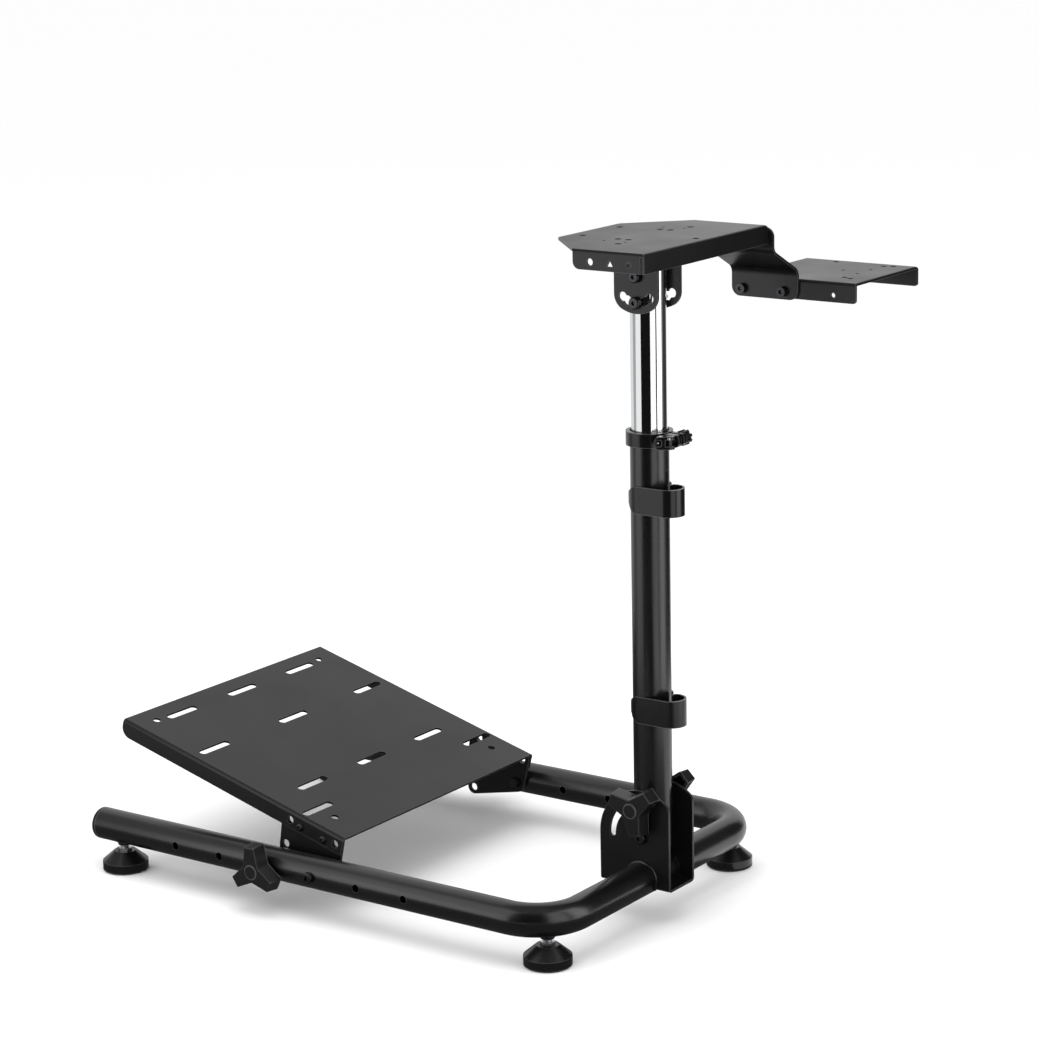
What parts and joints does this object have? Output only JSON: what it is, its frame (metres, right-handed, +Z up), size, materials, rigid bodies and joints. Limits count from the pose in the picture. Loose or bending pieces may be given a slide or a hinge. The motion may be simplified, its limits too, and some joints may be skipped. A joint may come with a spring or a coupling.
{
  "type": "folding racing wheel and pedal stand",
  "caption": "Folding floor stand with a U-shaped tube base, sloping slotted pedal plate, telescoping column, tilting wheel plate and a side plate for a gear shifter.",
  "frame": {"origin": "on the floor, under the middle of the stand's bounding box", "axes": "+Z up; +Y the way the driver looks, from the driver's side to the open end of the base under the pedals; +X to the driver's right, the shifter's side"},
  "size_m": [0.6328, 0.8966, 0.8596],
  "materials": {
    "black_frame": "satin powder coat",
    "black_sheet": "fine textured powder coat",
    "bright_chrome": "polished",
    "black_plastic": "moulded satin",
    "black_steel": "blackened",
    "zinc_steel": "bright zinc"
  },
  "bodies": {
    "base": {"base_frame": "black_frame", "end_cap_left": "black_plastic", "end_cap_right": "black_plastic", "foot_pad_rear_left": "black_plastic", "foot_stud_rear_left": "zinc_steel", "foot_pad_rear_right": "black_plastic", "foot_stud_rear_right": "zinc_steel", "foot_pad_front_left": "black_plastic", "foot_stud_front_left": "zinc_steel", "foot_pad_front_right": "black_plastic", "foot_stud_front_right": "zinc_steel", "column_bracket": "black_sheet", "column_pivot_bolt": "black_steel", "pedal_plate": "black_sheet", "pedal_bracket_left": "black_sheet", "pedal_bracket_right": "black_sheet", "pedal_pivot_bolt_left": "black_steel", "pedal_pivot_bolt_right": "black_steel", "pedal_lock_bolt_left": "black_steel", "pedal_lock_bolt_right": "black_steel"},
    "column": {"column_tube": "black_frame", "column_lock_bolt": "black_steel", "clamp_collar": "black_plastic", "clamp_pin": "black_steel", "cable_clip_lower": "black_plastic", "cable_clip_upper": "black_plastic"},
    "slider": {"height_tube": "bright_chrome", "tilt_pivot_bolt": "black_steel", "tilt_lock_bolt": "black_steel"},
    "head": {"tilt_bracket": "black_sheet", "wheel_plate": "black_sheet", "shifter_arm": "black_sheet", "shifter_plate": "black_sheet", "arm_top_bolt_front": "black_steel", "arm_top_bolt_rear": "black_steel", "arm_bolt_front": "black_steel", "arm_bolt_rear": "black_steel"},
    "lever": {"clamp_lever": "black_plastic"},
    "column_knob_left": {"column_knob_left": "black_plastic"},
    "column_knob_right": {"column_knob_right": "black_plastic"},
    "pedal_knob_left": {"pedal_knob_left": "black_plastic"},
    "pedal_knob_right": {"pedal_knob_right": "black_plastic"}
  },
  "joints": [
    {"name": "column_fold", "type": "hinge", "parent": "base", "child": "column", "pos_m": [-0.04285, -0.2767, 0.1107], "axis": [-1, 0, 0], "range_deg": [0, 60]},
    {"name": "column_height", "type": "slide", "parent": "column", "child": "slider", "axis": [0, 0, 1], "range_m": [-0.12, 0.12]},
    {"name": "wheel_plate_tilt", "type": "hinge", "parent": "slider", "child": "head", "pos_m": [-0.04285, -0.2767, 0.8128], "axis": [1, 0, 0], "range_deg": [-35, 35]},
    {"name": "clamp_lever_swing", "type": "hinge", "parent": "column", "child": "lever", "pos_m": [-0.05985, -0.3157, 0.61405], "axis": [0, 0, 1], "range_deg": [0, 110]},
    {"name": "column_knob_left_turn", "type": "hinge", "parent": "column", "child": "column_knob_left", "pos_m": [-0.07155, -0.2767, 0.1527], "axis": [-1, 0, 0], "range_deg": [-120, 120]},
    {"name": "column_knob_right_turn", "type": "hinge", "parent": "column", "child": "column_knob_right", "pos_m": [-0.01415, -0.2767, 0.1527], "axis": [1, 0, 0], "range_deg": [-120, 120]},
    {"name": "pedal_knob_left_turn", "type": "hinge", "parent": "base", "child": "pedal_knob_left", "pos_m": [-0.29035, 0.1526, 0.0573], "axis": [-1, 0, 0], "range_deg": [-120, 120]},
    {"name": "pedal_knob_right_turn", "type": "hinge", "parent": "base", "child": "pedal_knob_right", "pos_m": [0.20465, 0.1526, 0.0573], "axis": [1, 0, 0], "range_deg": [-120, 120]}
  ]
}
